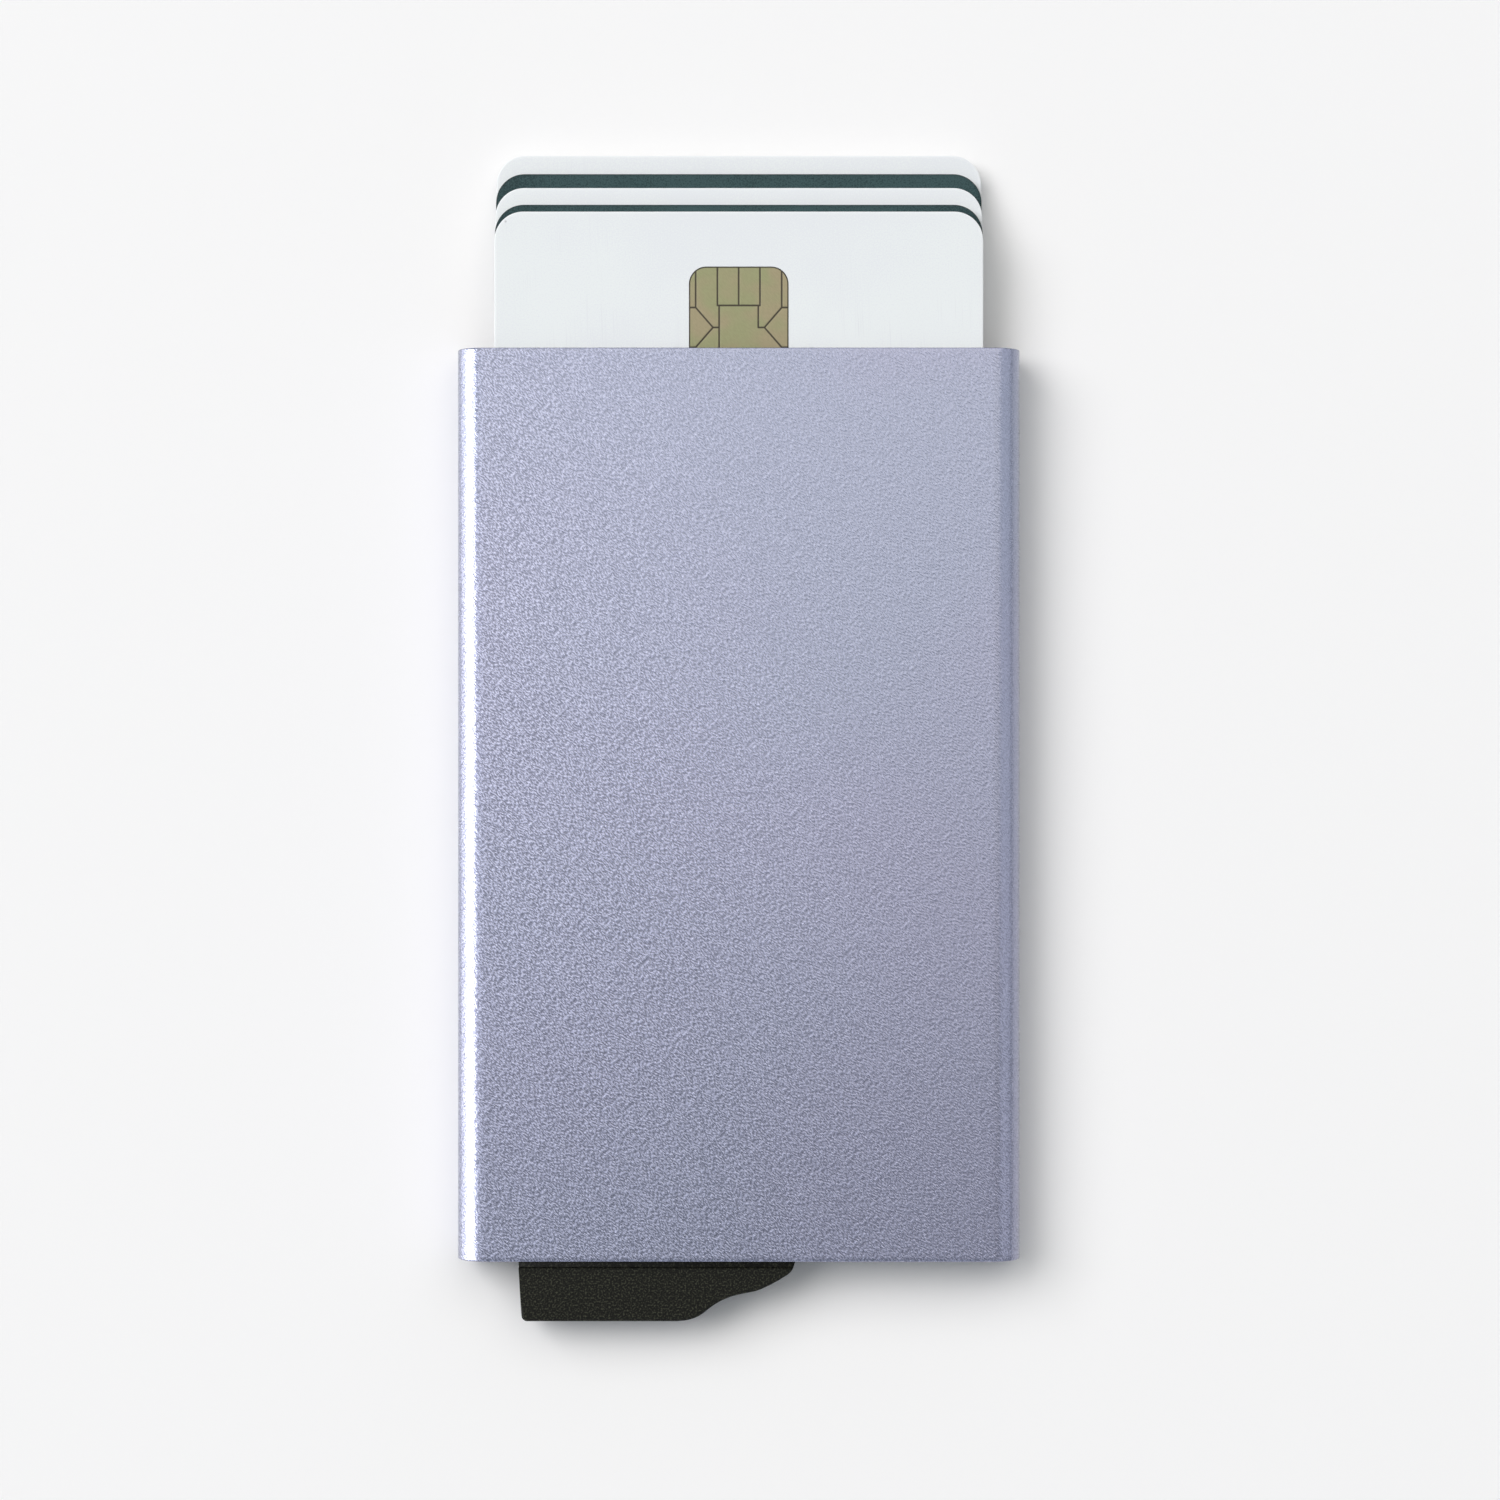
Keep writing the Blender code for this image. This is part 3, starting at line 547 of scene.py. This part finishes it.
def distance_to_lines(x, y, lines):
    """Distance to the nearest line: drop each point onto it, no further than its ends."""
    nearest = np.full(x.shape, np.inf)
    for x0, y0, x1, y1 in lines:
        dx, dy = x1 - x0, y1 - y0
        share = np.clip(((x - x0) * dx + (y - y0) * dy) / (dx * dx + dy * dy), 0, 1)
        nearest = np.minimum(nearest, np.hypot(x - x0 - share * dx, y - y0 - share * dy))
    return nearest


def depth_inside(x, y, half_x, half_y, radius):
    """How far inside a rounded rectangle a point lies."""
    across, up = np.abs(x) - half_x + radius, np.abs(y) - half_y + radius
    outside = np.hypot(np.maximum(across, 0), np.maximum(up, 0))
    return radius - outside - np.minimum(np.maximum(across, up), 0)


print("the core of the plate is", round(2 * CORE_X / MM, 2), "mm wide")

# %% [markdown]
# The plate's upper face is a grid whose rows are as long as the plate is wide there. A groove
# lowers its points, with a short slope beside the line, and the border falls away round a quarter
# circle. Straight sides and a flat underside close the shape.

# %% Contact plate: a grid with grooves
PLATE_ROUND = 0.06 * MM
LINE_HALF_WIDTH = 0.065 * MM
LINE_FADE = 0.05 * MM
LINE_DEPTH = 0.03 * MM
BORDER = 0.085 * MM
GRID_STEP = 0.05 * MM


def make_contact_plate():
    """Rows run across at even heights, and each row is as wide as the plate is there."""
    centre, half_x, half_y, low_z, high_z = box_shape("chip_contacts")
    rows, columns = round(2 * half_y / GRID_STEP) + 1, round(2 * half_x / GRID_STEP) + 1
    y = np.linspace(-half_y, half_y, rows)[:, None]
    past_corner = np.maximum(np.abs(y) - half_y + PLATE_CORNER, 0)
    width = half_x - PLATE_CORNER + np.sqrt(np.maximum(PLATE_CORNER**2 - past_corner**2, 0))
    x = np.linspace(-1, 1, columns)[None, :] * width
    y = np.broadcast_to(y, x.shape)
    inside = np.maximum(depth_inside(x, y, half_x, half_y, PLATE_CORNER), 0)
    to_line = distance_to_lines(x, y, plate_lines(half_x, half_y))
    groove = 1 - np.clip((to_line - LINE_HALF_WIDTH) / LINE_FADE, 0, 1)
    to_edge = np.clip(1 - inside / PLATE_ROUND, 0, 1)
    fall = PLATE_ROUND * (1 - np.sqrt(1 - to_edge**2))
    z = high_z - LINE_DEPTH * groove * np.clip(inside / PLATE_ROUND, 0, 1) - fall
    top = np.stack([x + centre[0], y + centre[1], z], axis=-1).reshape(-1, 3)

    index = np.arange(rows * columns).reshape(rows, columns)
    quads = np.stack([index[:-1, :-1], index[:-1, 1:], index[1:, 1:], index[1:, :-1]], axis=-1)
    edge = np.concatenate([index[0], index[1:, -1], index[-1, -2::-1], index[-2:0:-1, 0]])
    foot = top[edge] * [1, 1, 0] + [0, 0, low_z]
    foot_index = np.arange(len(edge)) + len(top)
    sides = np.stack([edge, np.roll(edge, -1), np.roll(foot_index, -1), foot_index], axis=-1)
    faces = quads.reshape(-1, 4).tolist() + sides.tolist() + [foot_index.tolist()]
    mesh = bpy.data.meshes.new("contact_plate")
    mesh.from_pydata(np.concatenate([top, foot]).tolist(), [], faces)
    face_outwards(mesh)
    border = np.clip(1 - (inside - BORDER) / LINE_FADE, 0, 1)
    dark = np.concatenate([np.maximum(groove, border).ravel(), np.ones(len(edge))])
    set_attribute(mesh, "etched", dark)
    return mesh


print("etched lines are", round(2 * LINE_HALF_WIDTH / MM, 2), "mm wide")

# %% [markdown]
# The gilding is thin and matt, with a fine slanting grain from the rolled copper under it, and its
# gold has a touch of olive. The etched lines show the brown carrier.

# %% Gilt finish, and the plate in its pocket
GILT, GILT_WARM = colour(0.275, 0.282, 0.154), colour(0.312, 0.270, 0.168)
ROLLED, CARRIER = colour(0.22, 0.20, 0.11), colour(0.030, 0.022, 0.010)
ROLLING, ROLLING_STRETCH, ROLLING_TURN = 0.09 * MM, 5, 0.7
ROLLING_DEPTH, ROLLING_SHARE, ROLLED_IN = 0.0015 * MM, 0.25, (0.3, 0.7)
GILT_CLOUD = 3.0 * MM
GILT_METALLIC = 0.55
GILT_ROUGHNESS, ROLLED_ROUGHNESS, ETCHED_ROUGHNESS = 0.40, 0.12, 0.2


def gilt():
    finish = Finish("gilt_contacts")
    grain = finish.noise(ROLLING, 1.0, (1, ROLLING_STRETCH, 1), ROLLING_TURN)
    clouds = finish.noise(GILT_CLOUD, 1.0, shift=40 * MM)
    etched = finish.attribute("etched")
    gold = finish.mix(clouds.between(*CLOUDED), GILT, GILT_WARM)
    grained = finish.mix(grain.between(*ROLLED_IN) * ROLLING_SHARE, gold, ROLLED)
    finish.set("Base Color", finish.mix(etched, grained, CARRIER))
    finish.set("Metallic", GILT_METALLIC - etched * GILT_METALLIC)
    uneven = grain * ROLLED_ROUGHNESS + etched * ETCHED_ROUGHNESS
    finish.set("Roughness", GILT_ROUGHNESS + uneven)
    finish.bump(grain, ROLLING_DEPTH)
    return finish.material


place("contact_plate", make_contact_plate(), gilt(), "card_1", "contacts", "chip_contacts")

# %% [markdown]
# The lever, the end frame, its cover and the two guides are mouldings whose solids already have the
# real form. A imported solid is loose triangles, so a copy is merged and shaded by area: big flat
# faces stay flat, and only the rounded edges turn. The finger tab has a fine spark-eroded grain
# that gives grip, while the parts inside the sleeve are plain and a little smoother.

# %% Moulded black plastic
MOULDED_GLOSS = 0.14
FLECKED, MOULDED_CLOUD = (0.46, 0.72), 5 * MM
GRAIN_SHINE, CLOUD_DULLNESS = 0.16, 0.08


def moulded(name, base, fleck, grain_size, depth, roughness):
    finish = Finish(name)
    finish.set("Specular IOR Level", MOULDED_GLOSS)
    grain = finish.noise(grain_size, 2.0)
    clouds = finish.noise(MOULDED_CLOUD, 1.0, shift=90 * MM)
    finish.set("Base Color", finish.mix(grain.between(*FLECKED), base, fleck))
    finish.set("Roughness", roughness - grain * GRAIN_SHINE + clouds * CLOUD_DULLNESS)
    finish.bump(grain, depth)
    return finish.material


TAB_PLASTIC = moulded(
    "grained_black_plastic",
    base=colour(0.003, 0.0032, 0.002),
    fleck=colour(0.043, 0.045, 0.030),
    grain_size=0.20 * MM,
    depth=0.012 * MM,
    roughness=0.55,
)
INNER_PLASTIC = moulded(
    "smooth_black_plastic",
    base=colour(0.017, 0.018, 0.018),
    fleck=colour(0.026, 0.027, 0.028),
    grain_size=0.35 * MM,
    depth=0.003 * MM,
    roughness=0.50,
)

MERGE = 0.0005 * MM
MOULDINGS = (
    ("finger_lever", "lever", "lever", "lever_plastic", TAB_PLASTIC),
    ("lower_end_frame", "end_frame", "root", "frame_plastic", INNER_PLASTIC),
    ("end_frame_plate", "end_frame_cover", "root", "frame_plastic", INNER_PLASTIC),
    ("left_guide", "side_guide_left", "root", "frame_plastic", INNER_PLASTIC),
    ("right_guide", "side_guide_right", "root", "frame_plastic", INNER_PLASTIC),
)


def merged_copy(name, node):
    """A welded copy of a CAD node's mesh, with its place kept."""
    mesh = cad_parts[node].data.copy()
    mesh.name = name
    face_outwards(mesh, merge=MERGE)
    return mesh


def weigh_normals(piece):
    """Let the larger face at an edge decide the shading there."""
    modifier = piece.modifiers.new("flat_faces_stay_flat", "WEIGHTED_NORMAL")
    modifier.keep_sharp = True


for name, node, body, slot, material in MOULDINGS:
    weigh_normals(place(name, merged_copy(name, node), material, body, slot, node))

# %% [markdown]
# The pivot pin is ground steel. It turns out of sight between the sleeve's walls, but it is there
# when the end frame is looked into from below.

# %% Ground steel pin
STEEL_DARK, STEEL_LIGHT = colour(0.50, 0.50, 0.51), colour(0.66, 0.66, 0.67)
GRINDING, GRINDING_STRETCH, GRINDING_DEPTH = 0.05 * MM, 12, 0.001 * MM
STEEL_ROUGHNESS, GRINDING_ROUGHNESS = 0.22, 0.14


def ground_steel():
    finish = Finish("ground_steel", metallic=1.0)
    rings = finish.noise(GRINDING, 1.0, (GRINDING_STRETCH, GRINDING_STRETCH, 1))
    finish.set("Base Color", finish.mix(rings, STEEL_DARK, STEEL_LIGHT))
    finish.set("Roughness", STEEL_ROUGHNESS + rings * GRINDING_ROUGHNESS)
    finish.bump(rings, GRINDING_DEPTH)
    return finish.material


pin_mesh = merged_copy("pivot_pin", "lever_pin")
place("pivot_pin", pin_mesh, ground_steel(), "root", "steel", "lever_pin")

# %% [markdown]
# Strips of dense felt hold the cards by friction: one along each guide and two on each wide wall.
# A strip is cut from a sheet, so it has soft edges and a surface of pressed fibres, which is uneven
# by about a hundredth of a millimetre. That unevenness is worked out as a product of two waves.

# %% Felt strips
FELT_DARK, FELT_LIGHT = colour(0.025, 0.025, 0.028), colour(0.085, 0.085, 0.092)
FIBRE, FIBRE_STRETCH, FIBRE_RELIEF = 0.05 * MM, 7, 0.03 * MM
ALONG_TURN, ACROSS_TURN = 0.5, 0.3
FELT_ROUGHNESS, FIBRE_ROUGHNESS = 0.85, 0.15

STRIP_ROUND = 0.12 * MM
STRIP_CORNER = 1.5 * MM
NARROWEST_IN_CORNERS = 2.2
STRIP_SUPPORT = 0.3
STRIP_SHARES = np.linspace(0.02, 0.98, 60)

# The unevenness: the scale of its waves and its height, how far the first wave slants, and how fast
# the second one runs along the strip.
FIBRE_WAVE = 0.9 * MM
FIBRE_HEIGHT = 0.012 * MM
WAVE_SLANT, WAVE_RATE = 3, 2


def felt():
    finish = Finish("dense_felt", sheen_weight=0.35)
    along = finish.noise(FIBRE, 2.0, (1, FIBRE_STRETCH, 1), ALONG_TURN)
    across = finish.noise(FIBRE, 2.0, (FIBRE_STRETCH, 1, 1), ACROSS_TURN, shift=20 * MM)
    pressed = (along + across) * 0.5
    finish.set("Base Color", finish.mix(pressed, FELT_DARK, FELT_LIGHT))
    finish.set("Roughness", FELT_ROUGHNESS + pressed * FIBRE_ROUGHNESS)
    finish.bump(pressed, FIBRE_RELIEF)
    return finish.material


FELT = felt()


def make_strip(node):
    """A rounded plate along Y whose two large faces lie across its thinnest direction.

    Both faces sink by half the fibre height * (1 + wave), where the wave is the sine of a slanted
    distance times the cosine of the distance along the strip.
    """
    low, high = (np.array(corner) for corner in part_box(node))
    size = high - low
    thin = int(np.argmin(size))
    across = 2 if thin == 0 else 0
    corner = min(STRIP_CORNER, size[across] / NARROWEST_IN_CORNERS)
    shape = rounded_rectangle(size[across] / 2, size[1] / 2, corner, side_shares=STRIP_SHARES)
    insets, heights = rim_stations(low[thin], high[thin], STRIP_ROUND, corner * STRIP_SUPPORT)
    centre = np.array([low[across] + high[across], low[1] + high[1]]) / 2
    rings = plate_rings(centre, shape, corner, insets, heights)
    u, v = rings[..., 0] / FIBRE_WAVE, rings[..., 1] / FIBRE_WAVE
    wave = np.sin(u + WAVE_SLANT * v) * np.cos(WAVE_RATE * v)
    sink = FIBRE_HEIGHT * (1 + wave) / 2
    middle = (low[thin] + high[thin]) / 2
    rings[..., 2] += np.where(rings[..., 2] > middle, -sink, sink)
    if thin == 0:
        rings = rings[..., [2, 1, 0]]
    mesh = mesh_of_rings(node + "_strip", rings)
    face_outwards(mesh)
    return place(node + "_strip", mesh, FELT, "root", "felt", node)


for side in ("left", "right"):
    for strip in ("edge_felt_", "front_pad_", "back_pad_"):
        make_strip(strip + side)

# %% [markdown]
# The case lies on a plain pale floor. The floor's own colour makes the picture's background, and
# the lamps together light it at a level where a colour renders about as it is written.

# %% Floor
FLOOR_SIZE = 6.0
FLOOR_DROP = 0.02 * MM
FLOOR_PAINT = colour(0.93, 0.93, 0.93)


def make_floor():
    """A flat square just below the case, for the picture alone."""
    corners = np.array([(-1, -1), (1, -1), (1, 1), (-1, 1)]) * FLOOR_SIZE / 2
    mesh = bpy.data.meshes.new("floor")
    mesh.from_pydata([(x, y, -FLOOR_DROP) for x, y in corners], [], [(0, 1, 2, 3)])
    finish = Finish("pale_floor", roughness=0.9, base_color=FLOOR_PAINT)
    finish.set("Specular IOR Level", 0.0)
    mesh.materials.append(finish.material)
    floor = bpy.data.objects.new("floor", mesh)
    bpy.context.scene.collection.objects.link(floor)


make_floor()
print("the floor is", FLOOR_SIZE, "m square and", FLOOR_DROP / MM, "mm below the case")

# %% [markdown]
# Two large soft lamps and a dim pale room light the case. They stand metres away, so that the floor
# is lit evenly. One hangs on the mouth side: its reflection fades down the sleeve. The key lamp is
# to the upper left and throws the soft shadow to the lower right.
#
# A satin metal is drawn by what it mirrors, so the rest are panels that only gloss sees, like the
# white cards round a product in a studio. A bright one low on the left draws the white line along
# the rounded side, and a faint one above it lets the face glow a little towards that line. A dim
# one on the right lifts the other side. One beyond the mouth and one before the tab are there for
# the other views, in which the sleeve would mirror the dim room. The last lies on the floor to the
# left, where the side wall mirrors the floor: it stands for the light that the bright panel would
# throw there. The key lamp is left out of the gloss, since the panels take its place.
#
# Every lamp but the one on the floor is equally far away. Its place is given by how far it leans
# from straight overhead, and its power follows from its area and its brightness.

# %% Lamps
WATTS_PER_BRIGHTNESS = 4.0
LAMP_DISTANCE = 6.0
PLAIN, COOL = (1.0, 1.0, 1.0), (0.96, 0.98, 1.06)
WARM, FAINTLY_WARM = (1.07, 1.01, 0.91), (1.02, 1.0, 1.0)


def lamp(name, lean_x, lean_y, width, height, brightness, tint=PLAIN):
    """A rectangular lamp that faces the case. Leans are in degrees, towards +X and +Y."""
    data = bpy.data.lights.new(name, "AREA")
    data.shape, data.size, data.size_y = "RECTANGLE", width, height
    data.energy = WATTS_PER_BRIGHTNESS * brightness * width * height
    data.color = tint
    light = bpy.data.objects.new(name, data)
    out = Vector((math.tan(math.radians(lean_x)), math.tan(math.radians(lean_y)), 1.0)).normalized()
    light.location = out * LAMP_DISTANCE
    light.rotation_euler = out.to_track_quat("Z", "Y").to_euler()
    light.visible_camera = False
    bpy.context.scene.collection.objects.link(light)
    print(name, "is", width, "by", height, "m with a brightness of", brightness)
    return light


FLOOR_PANEL_SIZE = (66 * MM, 150 * MM)
FLOOR_PANEL_X = -77 * MM

# Name, lean towards +X and +Y, width and height in metres, brightness and tint.
lamp("overhead_softbox", 6, 25.5, 6.2, 5.6, 0.95, WARM)
key = lamp("key_softbox", -38, 25, 4.0, 4.0, 4.05, FAINTLY_WARM)
key.visible_glossy = False

floor_panel = lamp("floor_panel", 0, 0, *FLOOR_PANEL_SIZE, 1.15)
floor_panel.location = (FLOOR_PANEL_X, 0, FLOOR_DROP)
floor_panel.rotation_euler = (0, math.pi, 0)
for panel in (
    floor_panel,
    lamp("left_glow", -32, -4, 2.4, 7.5, 0.82),
    lamp("left_panel", -65.5, -10, 4.8, 5.1, 4.2),
    lamp("right_panel", 55, 20, 5.4, 6.0, 0.56),
    lamp("mouth_panel", 0, 68, 9.0, 4.0, 0.85),
    lamp("tab_panel", 0, -62, 9.0, 4.6, 0.80, COOL),
):
    panel.visible_diffuse = False

# %% [markdown]
# The room around the lamps is the world. It is dim and slightly blue, against the warm overhead
# lamp, so that the two together light the floor without a colour of their own.

# %% The pale room
ROOM_COLOUR, ROOM_STRENGTH = colour(0.87, 0.96, 1.07), 0.27

world = bpy.data.worlds.new("pale_room")
bpy.context.scene.world = world
world.use_nodes = True
background = world.node_tree.nodes["Background"]
background.inputs["Color"].default_value = ROOM_COLOUR
background.inputs["Strength"].default_value = ROOM_STRENGTH
print("the room's strength is", ROOM_STRENGTH)

# %% [markdown]
# The picture was taken straight from above, a little off the middle of the case. A card's known
# width and its height above the floor give the distance and the lens.

# %% Camera
CAMERA_X, CAMERA_Y, CAMERA_HEIGHT = 1.24 * MM, 6.01 * MM, 400 * MM
LENS, SENSOR, NEAREST = 85.6, 36.0, 10 * MM


def make_camera():
    data = bpy.data.cameras.new("camera")
    data.lens, data.sensor_width = LENS, SENSOR
    data.clip_start = NEAREST
    camera = bpy.data.objects.new("camera", data)
    camera.location = (CAMERA_X, CAMERA_Y, CAMERA_HEIGHT)
    bpy.context.scene.collection.objects.link(camera)
    bpy.context.scene.camera = camera


make_camera()
bpy.context.scene.view_settings.view_transform = "Standard"
print("the camera looks down from", CAMERA_HEIGHT, "m")

# %% [markdown]


print("the dressed scene is set up")
